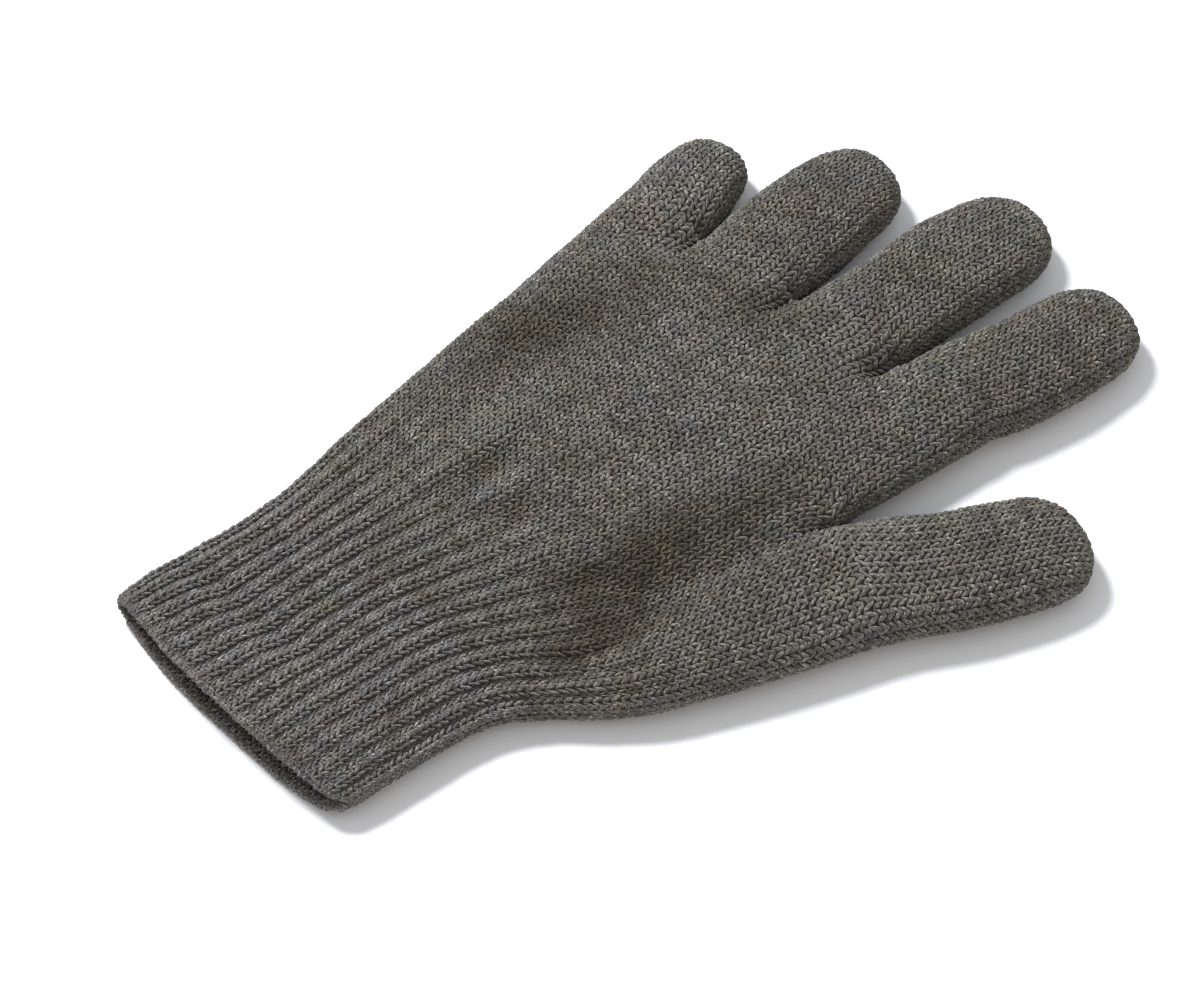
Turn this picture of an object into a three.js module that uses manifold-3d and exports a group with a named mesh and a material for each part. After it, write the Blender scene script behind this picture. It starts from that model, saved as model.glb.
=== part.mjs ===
// Heat protection glove, knitted in one seamless piece, lying flat with its back up.
// Millimetres. x runs across towards the thumb, y from the cuff rim to the fingertips, z up.

import * as THREE from 'three';
import Module from 'manifold-3d';

// Walls, clearances and the way the fabric lies on the floor
const WALL = 2.6;
const CLEARANCE = 0.3;
const FLOOR_PRESS = 0.9;
const WIDEST_LEVEL = 0.47;
const DIGIT_FULLNESS = 2.35;

// Cuff and wrist
const RIM_Y = -3;
const CUFF_END_Y = 48;
const POINTS_PER_RIB = 3;
const RIB_DEPTH = 0.75;
const RIB_FADE_START = 50;
const RIB_FADE_END = 98;
const RIM_ROUNDING = 1.1;
const RIM_ROUNDING_LENGTH = 2.6;
const RIM_BOW = 3.4;
const RIM_SLOPE = 0.06;
const RIM_FADE_Y = 45;

// Hand: rows of stitches lean gradually until they meet the line of the finger roots
const KNUCKLE_Y = 180;
const KNUCKLE_SLOPE = 0.176;
const SLOPE_START = 60;
const VALLEY_LENGTH = 17;
const WEB_THICKNESS = 3.6;

// Between these places the points leave the even spacing of the ribs for that of the fingers
const LANES_START_Y = 78;
const LANES_END_Y = 123;

// How the tip of a digit closes
const TIP_END_SHARE = 0.34;
const LAST_TURN = Math.acos(TIP_END_SHARE);
const TIP_END_HEIGHT = 0.3;
const TIP_CROWDING = 0.8;

// Length over which the rows of a digit turn from its root line to its own axis
const LEAN_SETTLES = 16;

// Numbers of facets, and how far the points of a lane crowd towards its edges
const LANE_CROWDING = 0.6;
const OUTER = { inset: 0, sides: 10, rows: 10, startBack: 0 };
const INNER = { inset: WALL, sides: 8, rows: 8, startBack: 1 };
const CAVITY_SIDES = 18;
const OUTLINE_STEPS = 400;

const table = (names, rows) => rows.map((row) =>
  Object.fromEntries(names.map((name, index) => [name, row[index]])));

// Passages from the hollow of the hand into the fingers, measured from the knuckle line
const BORE_REACH = table(['past', 'narrowing'], [[-20, 2.2], [-9, 0.7], [3, 0]]);
const BORE_OVERRUN = 2;

// The palm and cuff without the thumb: edges, height and squareness of each cross section
const BODY = table(
  ['y', 'left', 'right', 'height', 'fullness'], [
    [-3, -38.5, 44.5, 11.8, 2.8],
    [15, -39.2, 44.8, 12.6, 2.8],
    [30, -38.4, 44.2, 12.8, 2.8],
    [46, -39.4, 44.4, 13.2, 2.8],
    [60, -43.6, 45.6, 14.0, 2.8],
    [75, -46.8, 47.0, 15.2, 2.9],
    [95, -49.6, 48.2, 16.2, 3.0],
    [115, -53.0, 49.2, 16.8, 3.1],
    [135, -56.2, 50.0, 17.0, 3.1],
    [158, -60.8, 50.6, 16.4, 2.9],
    [180, -65.4, 51.0, 15.4, 2.7],
  ]);

const CUFF_STATIONS = [RIM_Y, -2.2, -0.4, 11, 18, 30, CUFF_END_Y];
const HAND_STATIONS = [CUFF_END_Y + CLEARANCE, 57, 67, 78, 90, 103, 117, 132, 147, 160, 168, 174, 180];
const CAVITY_STATIONS = [-6, 12, 30, 46, 60, 76, 92, 110, 130, 150, 164];

// Fingers from root to tip; points is the share of the knuckle line that each root takes
const FINGERS = [
  { name: 'little_finger',
    points: 11,
    path: table(['x', 'y', 'half', 'height'], [
      [-53.5, 170.6, 12.3, 14.6],
      [-58.4, 188.0, 12.2, 14.4],
      [-61.2, 199.4, 11.4, 11.6]]) },
  { name: 'ring_finger',
    points: 13,
    path: table(['x', 'y', 'half', 'height'], [
      [-26.2, 175.4, 14.6, 15.4],
      [-30.9, 205.0, 15.2, 15.0],
      [-32.0, 226.6, 14.4, 12.2]]) },
  { name: 'middle_finger',
    points: 14,
    path: table(['x', 'y', 'half', 'height'], [
      [4.5, 180.8, 15.8, 15.6],
      [3.2, 215.0, 15.9, 15.2],
      [4.0, 245.2, 15.0, 12.2]]) },
  { name: 'index_finger',
    points: 13,
    path: table(['x', 'y', 'half', 'height'], [
      [35.7, 186.3, 15.1, 15.4],
      [39.4, 215.0, 15.3, 15.2],
      [40.5, 241.6, 14.6, 12.4]]) },
];

// The thumb grows out of the side of the hand; its own piece starts at its root row
const THUMB = table(
  ['x', 'y', 'half', 'height', 'lean'], [
    [28, CUFF_END_Y + CLEARANCE, 17.2, 12.2, 0],
    [34.6, 57, 18.8, 12.6, 0],
    [41.8, 67, 19.8, 13.4, 0.06],
    [49, 80, 18.8, 14.4, 0.12],
    [56, 99, 18.2, 15.4, 0.24],
    [61.5, 117, 18.0, 16.0, 0.34],
    [67.3, 135, 17.5, 16.0, 0.38],
    [80.0, 162, 16.3, 15.4, 0.38],
    [89.8, 187.4, 14.0, 12.6, 0.38],
  ]);
const THUMB_ROOT_ROW = 6;

// Soft dents and folds pressed into the back of the hand
const DENTS = table(
  ['x', 'y', 'length', 'width', 'turn', 'depth'], [
    [-13, 86, 16, 4.5, -0.12, 1.9],
    [33, 88, 13, 8.0, 0.30, 2.4],
    [-33, 124, 20, 9.0, -0.10, 1.0],
    [14, 108, 24, 7.0, 0.18, 0.9],
    [-30, 66, 18, 6.0, -0.15, 0.8],
    [8, 18, 3.0, 34.0, 0.12, 0.7],
  ]);

// Helpers
const clamp = (value, low, high) => Math.min(Math.max(value, low), high);
const mix = (from, to, share) => from + (to - from) * share;
const ease = (from, to, value) => THREE.MathUtils.smoothstep(value, from, to);

// One column of a table at a place between its rows, along a smooth curve through them
function column(rows, name, key, at) {
  const last = rows.length - 2;
  const row = clamp(rows.findIndex((item) => item[key] > at) - 1, 0, last);
  const index = at >= rows[last + 1][key] ? last : row;
  const value = (i) => rows[clamp(i, 0, last + 1)][name];
  const place = (i) => rows[clamp(i, 0, last + 1)][key];
  const span = place(index + 1) - place(index);
  const share = (at - place(index)) / span;
  const slope = (i) => (value(i + 1) - value(i - 1)) / (place(i + 1) - place(i - 1));
  const start = slope(index) * span;
  const end = slope(index + 1) * span;
  const square = share * share;
  const cube = square * share;
  return (2 * cube - 3 * square + 1) * value(index) + (cube - 2 * square + share) * start
    + (3 * square - 2 * cube) * value(index + 1) + (cube - square) * end;
}

// Turn of the rows at the finger roots, away from the x axis
const ROOT_LEAN = -Math.atan(KNUCKLE_SLOPE);

// Height of the upper or lower wall where the section has risen to a share of its bulge
function wallHeight(height, share, upper, inset) {
  const middle = height * WIDEST_LEVEL;
  if (upper) {
    return middle + (height - middle - inset) * share;
  }
  return Math.max(middle - (middle + FLOOR_PRESS - inset) * share, inset);
}

const bulge = (across, fullness) =>
  Math.max(0, 1 - Math.abs(across) ** fullness) ** (1 / fullness);

function dentDepth(x, y) {
  let depth = 0;
  for (const dent of DENTS) {
    const along = (y - dent.y) * Math.cos(dent.turn) + (x - dent.x) * Math.sin(dent.turn);
    const aside = (x - dent.x) * Math.cos(dent.turn) - (y - dent.y) * Math.sin(dent.turn);
    depth += dent.depth * Math.exp(-((along / dent.length) ** 2) - (aside / dent.width) ** 2);
  }
  return depth;
}

// Body of the glove: cuff and hand
const rimShare = (y) => 1 - ease(RIM_Y, RIM_FADE_Y, y);
const slopeAt = (y) => RIM_SLOPE * rimShare(y) + KNUCKLE_SLOPE * ease(SLOPE_START, KNUCKLE_Y, y);
const bowAt = (y) => RIM_BOW * rimShare(y);
const ribsAt = (y) => RIB_DEPTH * (1 - ease(RIB_FADE_START, RIB_FADE_END, y));

function bodySection(y) {
  const at = (name) => column(BODY, name, 'y', y);
  const left = at('left');
  const right = at('right');
  return { y, centre: (left + right) / 2, half: (right - left) / 2,
    height: at('height'), fullness: at('fullness') };
}

// Shares across, from -1 to 1, that follow the finger roots, closer together at each edge
function laneShares() {
  const widths = FINGERS.map((finger) => finger.path[0].half);
  const total = widths.reduce((sum, width) => sum + width, 0);
  const shares = [];
  let start = -1;
  FINGERS.forEach((finger, lane) => {
    const width = 2 * widths[lane] / total;
    for (let point = 0; point < finger.points; point += 1) {
      const part = point / finger.points;
      const local = mix(2 * part - 1, -Math.cos(Math.PI * part), LANE_CROWDING);
      shares.push({ across: start + width * (local + 1) / 2, lane, local });
    }
    start += width;
  });
  shares.push({ across: 1, lane: FINGERS.length - 1, local: 1 });
  return shares;
}
const LANES = laneShares();
const HALF_POINTS = LANES.length - 1;

// Shares across that space the points evenly round the outline of a section
function evenShares(section, count) {
  const place = (step) => -Math.cos(Math.PI * step / OUTLINE_STEPS);
  const rise = (across) => bulge(across, section.fullness) * section.height / 2;
  const lengths = [0];
  for (let step = 1; step <= OUTLINE_STEPS; step += 1) {
    const run = (place(step) - place(step - 1)) * section.half;
    lengths.push(lengths[step - 1] + Math.hypot(run, rise(place(step)) - rise(place(step - 1))));
  }
  const shares = [];
  let step = 0;
  for (let point = 0; point <= count; point += 1) {
    const target = lengths[OUTLINE_STEPS] * point / count;
    while (step < OUTLINE_STEPS - 1 && lengths[step + 1] < target) {
      step += 1;
    }
    const part = (target - lengths[step]) / (lengths[step + 1] - lengths[step]);
    shares.push(clamp(mix(place(step), place(step + 1), part), -1, 1));
  }
  return shares;
}

// Lobe of one finger root, with the web that joins it to its neighbours
function lobeShare({ lane, local }, height) {
  const outer = (lane === 0 && local < 0) || (lane === FINGERS.length - 1 && local > 0);
  const web = outer ? 0 : WEB_THICKNESS / height;
  return web + (1 - web) * bulge(local, DIGIT_FULLNESS);
}

// A closed ring of the body: the upper wall from left to right, then the lower wall back
function bodyRing(y, { inset = 0, count = HALF_POINTS, lobes = true, ribs = true } = {}) {
  const section = bodySection(y);
  const even = evenShares(section, count);
  const toLanes = lobes ? ease(LANES_START_Y, LANES_END_Y, y) : 0;
  const toLobes = lobes ? ease(KNUCKLE_Y - VALLEY_LENGTH, KNUCKLE_Y, y) : 0;
  const half = section.half - inset;
  const point = (index, upper) => {
    const across = lobes ? mix(even[index], LANES[index].across, toLanes) : even[index];
    const x = section.centre + half * across;
    const row = y + slopeAt(y) * x - bowAt(y) * (1 - across * across);
    const oval = bulge(across, section.fullness);
    const share = lobes ? mix(oval, lobeShare(LANES[index], section.height), toLobes) : oval;
    const dent = upper ? dentDepth(x, y) * oval : 0;
    return new THREE.Vector3(x, row, wallHeight(section.height, share, upper, inset) - dent);
  };
  const ring = [];
  for (let index = 0; index <= count; index += 1) {
    ring.push(point(index, true));
  }
  for (let index = count - 1; index > 0; index -= 1) {
    ring.push(point(index, false));
  }
  return ribs ? ribbed(ring, ribsAt(y)) : ring;
}

// Moves the points of a ring outwards on the ribs and inwards between them
function ribbed(ring, depth) {
  const size = ring.length;
  return ring.map((point, index) => {
    const before = ring[(index + size - 1) % size];
    const after = ring[(index + 1) % size];
    const outwards = new THREE.Vector3(before.z - after.z, 0, after.x - before.x).normalize();
    const wave = -Math.cos(2 * Math.PI * index / POINTS_PER_RIB);
    const moved = point.clone().addScaledVector(outwards, depth * wave);
    moved.z = Math.max(moved.z, 0);
    return moved;
  });
}

// One ring of a digit: the upper wall from left to right, then the lower wall back.
// A share open under 1 brings both walls closer to the middle.
function digitRing({ x, y, half, height, lean }, { inset, sides }, open = 1) {
  const middle = height * WIDEST_LEVEL;
  const power = 2 / DIGIT_FULLNESS;
  const ring = [];
  for (let step = 0; step < 2 * sides; step += 1) {
    const angle = Math.PI * step / sides;
    const across = -Math.sign(Math.cos(angle)) * Math.abs(Math.cos(angle)) ** power;
    const share = Math.abs(Math.sin(angle)) ** power;
    const aside = (half - inset) * across;
    ring.push(new THREE.Vector3(
      x + aside * Math.cos(lean),
      y - aside * Math.sin(lean),
      mix(middle, wallHeight(height, share, angle <= Math.PI, inset), open)));
  }
  return ring;
}

// Places along a digit for its rings: even on the straight part, closer round the tip
function ringPlaces(start, total, radius, rows) {
  const straightRows = Math.round(rows / 2);
  const tipRows = rows - straightRows;
  const places = [];
  for (let row = 0; row < straightRows; row += 1) {
    places.push(mix(start, total - radius, row / straightRows));
  }
  for (let row = 0; row <= tipRows; row += 1) {
    const turn = LAST_TURN * (row / tipRows) ** TIP_CROWDING;
    places.push(total - radius * (1 - Math.sin(turn) / Math.sin(LAST_TURN)));
  }
  return places;
}

// Rings from a root to a rounded tip. A lean is the turn of a row away from the x axis.
function digitRings(path, rootRow, rootLean, wall) {
  const lengths = [0];
  for (let row = 1; row < path.length; row += 1) {
    const step = Math.hypot(path[row].x - path[row - 1].x, path[row].y - path[row - 1].y);
    lengths.push(lengths[row - 1] + step);
  }
  const rows = path.map((row, index) => ({ ...row, along: lengths[index] }));
  const at = (name, along) => column(rows, name, 'along', along);
  const axisLean = (along) => {
    const [before, after] = [along - LEAN_SETTLES / 2, along];
    return Math.atan2(at('x', after) - at('x', before), at('y', after) - at('y', before));
  };
  const start = lengths[rootRow];
  const total = lengths[path.length - 1] - wall.inset;
  const radius = at('half', total) - wall.inset;
  return ringPlaces(start - wall.startBack, total, radius, wall.rows).map((along) => {
    const roundPlan = clamp((along - total + radius) / radius, 0, 1) * Math.sin(LAST_TURN);
    const height = at('height', along);
    const roundSide = clamp((along - total + height / 2) / (height / 2), 0, 1);
    const row = {
      x: at('x', along),
      y: at('y', along),
      half: (at('half', along) - wall.inset) * Math.sqrt(1 - roundPlan ** 2) + wall.inset,
      height,
      lean: mix(rootLean, axisLean(along), ease(start, start + LEAN_SETTLES, along)),
    };
    return digitRing(row, wall, mix(TIP_END_HEIGHT, 1, Math.sqrt(1 - roundSide ** 2)));
  });
}

// Solids
const wasm = await Module();
wasm.setup();

// A closed solid through rings with the same number of points, capped by strips at both ends
function loft(rings) {
  const size = rings[0].length;
  const positions = rings.flat().flatMap((point) => point.toArray());
  const faces = [];
  for (let ring = 0; ring < rings.length - 1; ring += 1) {
    for (let side = 0; side < size; side += 1) {
      const next = (side + 1) % size;
      const low = ring * size;
      const high = low + size;
      faces.push([low + side, high + side, high + next], [low + side, high + next, low + next]);
    }
  }
  for (let side = 0; side < size / 2; side += 1) {
    const under = (size - side) % size;
    const quad = [side, side + 1, size - side - 1, under];
    const strips = [[quad[0], quad[1], quad[2]], [quad[0], quad[2], quad[3]]];
    const last = (rings.length - 1) * size;
    for (const [a, b, c] of strips) {
      if (a !== b && b !== c && c !== a) {
        faces.push([a, b, c], [last + a, last + c, last + b]);
      }
    }
  }
  return solidFrom(positions, faces);
}

function solidFrom(positions, faces) {
  const corner = (index) => new THREE.Vector3().fromArray(positions, 3 * index);
  const volume = faces.reduce((sum, [a, b, c]) =>
    sum + corner(a).dot(corner(b).cross(corner(c))) / 6, 0);
  const outward = volume > 0 ? faces : faces.map(([a, b, c]) => [a, c, b]);
  return new wasm.Manifold(new wasm.Mesh({
    numProp: 3,
    vertProperties: new Float32Array(positions),
    triVerts: new Uint32Array(outward.flat()),
  }));
}

const KNIT_GREY = 0x65635e;
const CUFF_GREY = 0x5f5c58;
const KNIT_ROUGHNESS = 0.95;

function piece(name, solid, colour) {
  const { vertProperties, triVerts } = solid.getMesh();
  const geometry = new THREE.BufferGeometry();
  geometry.setAttribute('position', new THREE.BufferAttribute(vertProperties, 3));
  geometry.setIndex(new THREE.BufferAttribute(triVerts, 1));
  geometry.computeVertexNormals();
  const material = new THREE.MeshStandardMaterial({
    color: colour,
    roughness: KNIT_ROUGHNESS,
    metalness: 0,
  });
  const mesh = new THREE.Mesh(geometry, material);
  mesh.name = name;
  return mesh;
}

// Pieces
const cavity = () => loft(CAVITY_STATIONS.map((y) =>
  bodyRing(y, { inset: WALL, count: CAVITY_SIDES, lobes: false, ribs: false })));

// The rim of the cuff is rounded: its first rings are drawn in towards the middle
function cuffRing(y) {
  const open = 1 - Math.min((y - RIM_Y) / RIM_ROUNDING_LENGTH, 1);
  const rounding = RIM_ROUNDING * (1 - Math.sqrt(1 - open * open));
  const section = bodySection(y);
  const middle = section.height * WIDEST_LEVEL;
  return bodyRing(y).map((point) => new THREE.Vector3(
    mix(point.x, section.centre, rounding / section.half),
    point.y,
    mix(point.z, middle, rounding / middle)));
}

const makeCuff = () =>
  piece('cuff', loft(CUFF_STATIONS.map(cuffRing)).subtract(cavity()), CUFF_GREY);

// The side of the hand that swells into the thumb, up to the first row of the thumb itself
function thumbRoot(wall, past) {
  const rows = THUMB.slice(0, THUMB_ROOT_ROW + 1);
  const { lean } = rows[THUMB_ROOT_ROW];
  const rings = rows.map((row) => digitRing(row, wall));
  const shift = new THREE.Vector3(Math.sin(lean), Math.cos(lean), 0).multiplyScalar(past);
  rings[THUMB_ROOT_ROW].forEach((point) => point.add(shift));
  return rings;
}

function fingerPassage([root, next]) {
  const drift = (next.x - root.x) / (next.y - root.y);
  return loft(BORE_REACH.map(({ past, narrowing }) => digitRing({
    ...root,
    x: root.x + drift * past,
    y: root.y + past,
    half: root.half - narrowing,
    lean: ROOT_LEAN,
  }, INNER)));
}

function makeHand() {
  const outside = loft(HAND_STATIONS.map((y) => bodyRing(y))).add(loft(thumbRoot(OUTER, -CLEARANCE)));
  let hollow = cavity().add(loft(thumbRoot(INNER, BORE_OVERRUN).slice(1)));
  for (const finger of FINGERS) {
    hollow = hollow.add(fingerPassage(finger.path));
  }
  return piece('hand', outside.subtract(hollow), KNIT_GREY);
}

function makeDigit(name, path, rootRow, rootLean) {
  const outside = loft(digitRings(path, rootRow, rootLean, OUTER));
  return piece(name, outside.subtract(loft(digitRings(path, rootRow, rootLean, INNER))), KNIT_GREY);
}

// A finger starts just past the knuckle line, a little clear of its neighbours
function makeFinger({ name, path: [root, ...rest] }) {
  const start = { ...root, y: root.y + CLEARANCE, half: root.half - CLEARANCE / 2 };
  return makeDigit(name, [start, ...rest], 0, ROOT_LEAN);
}

const group = new THREE.Group();
group.add(
  makeCuff(),
  makeHand(),
  ...FINGERS.map(makeFinger),
  makeDigit('thumb', THUMB, THUMB_ROOT_ROW, THUMB[THUMB_ROOT_ROW].lean));

// The origin sits on the floor under the middle of the glove
const box = new THREE.Box3().setFromObject(group);
const middle = box.getCenter(new THREE.Vector3());
group.position.set(-middle.x, -middle.y, -box.min.z);
group.updateMatrixWorld(true);

export default group;
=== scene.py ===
"""Heat protection glove, knitted in mottled grey yarn, lying flat with its back up.

Sizes and tables are in millimetres in the knitter's pattern: x runs across towards the thumb,
y from the cuff rim to the fingertips, z up from the floor. Blender's objects are in metres.
"""

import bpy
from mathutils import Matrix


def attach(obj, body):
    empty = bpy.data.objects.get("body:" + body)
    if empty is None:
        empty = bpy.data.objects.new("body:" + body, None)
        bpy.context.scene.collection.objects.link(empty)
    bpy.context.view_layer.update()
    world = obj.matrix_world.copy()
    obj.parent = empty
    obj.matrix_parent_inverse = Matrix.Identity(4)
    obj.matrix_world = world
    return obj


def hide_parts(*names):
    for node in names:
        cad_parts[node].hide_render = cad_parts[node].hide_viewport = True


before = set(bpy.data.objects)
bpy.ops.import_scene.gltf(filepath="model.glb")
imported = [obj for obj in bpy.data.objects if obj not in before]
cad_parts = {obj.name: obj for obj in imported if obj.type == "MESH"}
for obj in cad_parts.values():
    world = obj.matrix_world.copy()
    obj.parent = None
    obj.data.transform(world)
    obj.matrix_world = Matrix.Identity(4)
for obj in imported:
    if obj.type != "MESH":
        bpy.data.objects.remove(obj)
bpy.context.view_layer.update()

import math

import bpy
import numpy as np

MM = 0.001
SEED = 11

# From the pattern to the row frame
SHIFT = np.array([-14.6445, -119.347, 0])

# Walls and the way the fabric lies on the floor
FLOOR_PRESS = 0.9
WIDEST_LEVEL = 0.47
DIGIT_FULLNESS = 2.35

# Cuff and wrist. A rib has one narrow stitch, sunk in its groove, and two broad ones on its crest:
# heights of the corners where each begins, widths, and how far the sunken one lies back
RIM_Y = -3
RIB_DEPTH = 0.6
RIB_WAVE = np.array([-0.7, -0.7, 0.8])
RIB_WIDTHS = np.array([0.6, 1.2, 1.2])
RIB_SINK = np.array([0.5, 0.0, 0.0])
RIB_FADE_START = 50
RIB_FADE_END = 98
RIM_BOW = 3.4
RIM_SLOPE = 0.06
RIM_FADE_Y = 45

# Ribs are low beside the rim, and in one place near its corner: x, row, width, length, share
RIM_RIBS = 0.35
RIM_RIBS_END = 5
CALM_PLACE = (31, 9, 15, 13, 0.45)

# Between the rim and a row the ribs of the back lean outwards. The lean rises and falls again
# between these shares of the way across
LEAN_ROW = 19
LEAN_SOFTNESS = 4
RIB_LEAN = 0.19
LEAN_RISE = (0.0, 0.2)
LEAN_FALL = (0.32, 0.7)

# The corner of the rim beside the thumb is round
CORNER_X = 39.5
CORNER_RADIUS = 5
CORNER_CUT = 0.9
CORNER_END = 12

# The rim turns inwards in a half round and runs on a little way inside
HEM_RADIUS = 1.3
HEM_TURN_ROWS = 3
HEM_INSIDE_ROWS = 6
HEM_LEAST_ROOM = 0.25

# Hand
KNUCKLE_Y = 180
KNUCKLE_SLOPE = 0.176
SLOPE_START = 60
VALLEY_LENGTH = 17
WEB_THICKNESS = 3.6
LANES_START_Y = 78
LANES_END_Y = 123
PALM_SIDE_START = 0.15

# Digits: how their tips close, and how the stitches at their sides widen from the web on
TIP_SQUARENESS = 2.2
TIP_END_HEIGHT = 0.08
TIP_LAST_PLACE = 0.995
TIP_EDGE = 0.01
LEAN_SETTLES = 16
SIDE_SETTLES = 14
SIDE_START = 0.35

# Where the side of a finger nearer the little finger is drawn in, above its root: y, length, depth
DRAWN_SIDES = {"middle_finger": (200, 14, 2), "index_finger": (209, 13, 1.2)}

# How the knit shapes each tip: its shift across and along, and how much narrower each half gets.
# It does so from a share of the digit's length on, in full from a length before its end
TIP_SHAPES = {
    "little_finger": (-0.6, 1.0, 1.7),
    "ring_finger": (-0.9, 0.7, 1.2),
    "middle_finger": (-0.5, 0.6, 0.8),
    "index_finger": (-0.5, 0.8, 0.6),
    "thumb": (-0.7, 0.3, -0.7),
}
TIP_SHAPE_START = 0.35
TIP_SHAPE_END = 8

# Knit gauge: height of a row of stitches, and how many stitches each lane has across
COURSE = 1.95
LANE_WALES = {
    "little_finger": 9,
    "ring_finger": 10,
    "middle_finger": 10,
    "index_finger": 10,
    "thumb": 12,
}
SIDE_WALES = 2

# Depths below the face of the fabric: middle of the yarn, then both faces of the backing
YARN_DEPTH = 0.62
BACKING_FACE = 0.95
BACKING_BACK = 2.5
BACKING_BACK_IN_HEM = 1.4

# Length between samples of an outline, and how softly its corners are rounded
SAMPLE = 0.4
LEAST_SAMPLES = 8
SOFTNESS = 1.1

# Samples across half a section, along a digit, and across and along the root of the thumb
HALF_SAMPLES = 241
DIGIT_SAMPLES = 400
CREASE_SAMPLES = 1501
CREASE_STEPS = 60
ROW_STEPS = 8

# Pieces of cuff and hand: the solid each belongs to, and the row of stitches in which it ends
PIECES = (
    ("cuff", "cuff_knit", 25),
    ("hand", "wrist_knit", 53),
    ("hand", "palm_knit", 80),
    ("hand", "knuckles_knit", math.inf),
)


def table(names, *rows):
    """Rows of a table as one array for each named column."""
    return {name: np.array([row[place] for row in rows], float) for place, name in enumerate(names)}


# The palm and cuff without the thumb: edges, height and squareness of each cross section
BODY = table(
    ("y", "left", "right", "height", "fullness"),
    (-3, -38.5, 44.5, 11.8, 2.8),
    (15, -39.2, 44.8, 12.6, 2.8),
    (30, -38.4, 44.2, 12.8, 2.8),
    (46, -39.4, 44.4, 13.2, 2.8),
    (60, -43.6, 45.6, 14, 2.8),
    (75, -46.8, 47, 15.2, 2.9),
    (95, -49.6, 48.2, 16.2, 3),
    (115, -53, 49.2, 16.8, 3.1),
    (135, -56.2, 50, 17, 3.1),
    (158, -60.8, 50.6, 16.4, 2.9),
    (180, -65.4, 51, 15.4, 2.7),
)

# The fingers: place, half width and height of sections at the root, in the middle and at the tip
SECTIONS = {
    "little_finger": [
        (-53.5, 170.6, 12.3, 14.6),
        (-58.4, 188, 12.2, 14.4),
        (-61.2, 199.4, 11.4, 11.6),
    ],
    "ring_finger": [(-26.2, 175.4, 14.6, 15.4), (-30.9, 205, 15.2, 15), (-32, 226.6, 14.4, 12.2)],
    "middle_finger": [(4.5, 180.8, 15.8, 15.6), (3.2, 215, 15.9, 15.2), (4, 245.2, 15, 12.2)],
    "index_finger": [(35.7, 186.3, 15.1, 15.4), (39.4, 215, 15.3, 15.2), (40.5, 241.6, 14.6, 12.4)],
}
FINGERS = {name: table(("x", "y", "half", "height"), *rows) for name, rows in SECTIONS.items()}

THUMB = table(
    ("x", "y", "half", "height", "lean"),
    (28, 48.3, 17.2, 12.2, 0),
    (34.6, 57, 18.8, 12.6, 0),
    (41.8, 67, 19.8, 13.4, 0.06),
    (49, 80, 18.8, 14.4, 0.12),
    (56, 99, 18.2, 15.4, 0.24),
    (61.5, 117, 18, 16, 0.34),
    (67.3, 135, 17.5, 16, 0.38),
    (80, 162, 16.3, 15.4, 0.38),
    (89.8, 187.4, 14, 12.6, 0.38),
)
THUMB_ROOT_ROW = 6

# Soft dents and folds pressed into the back of the hand
DENTS = [
    # x, y, length, width, turn, depth
    (-13, 86, 16, 4.5, -0.12, 1.9),
    (33, 88, 13, 8, 0.3, 2.4),
    (-33, 124, 20, 9, -0.1, 1),
    (14, 108, 24, 7, 0.18, 0.9),
    (-30, 66, 18, 6, -0.15, 0.8),
    (8, 18, 3, 34, 0.12, 0.7),
]

# Softer folds of the knit alone, in the same columns: the hollow beside the thumb, small folds
# of the wrist, the slight roll of the rim and the creases between the fingers. Less than 0 is
# raised. They press in the upper side alone, in full from the higher level on.
FOLDS = [
    (45, 92, 20, 7.5, 0.05, 3.3),
    (43, 118, 17, 7, 0.1, 1.9),
    (45.5, 68, 9, 4.5, 0.1, 1.8),
    (31, 84, 14, 5, 0.52, 1.3),
    (-10.8, 84, 11, 3.4, -0.07, 1.7),
    (-19.5, 86, 15, 5, -0.1, -0.9),
    (-2.5, 90, 13, 4, -0.05, -0.8),
    (3.2, 81, 7, 2.8, 0.1, 1.1),
    (-36, 120, 26, 8, -0.12, 1.4),
    (-12, 17, 4, 30, -0.18, 1.4),
    (-2, 8, 4.5, 42, -0.1, -0.7),
    (-9.5, 176, 8, 2.8, 0.12, 2.2),
    (20, 180, 8, 2.8, 0.08, 2),
    (-41, 168, 7, 2.8, 0.12, 1.4),
]
FOLD_LOW = 6
FOLD_HIGH = 11

# Small waves of the fabric as it lies: heights, and lengths across and along. The lift also winds,
# and is full from a level on
LIFT_HEIGHT = 0.22
LIFT_LENGTHS = (3.7, 4.9)
LIFT_WINDING = (1.3, 9)
LIFT_START = 0.7
LIFT_LEVEL = 12
SWAY_ASIDE = ((0.14, 17, 7.1), (0.05, -5, 2.3))
SWAY_ALONG = ((0.18, 6.3, -21), (0.07, 2.1, 7))

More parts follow.
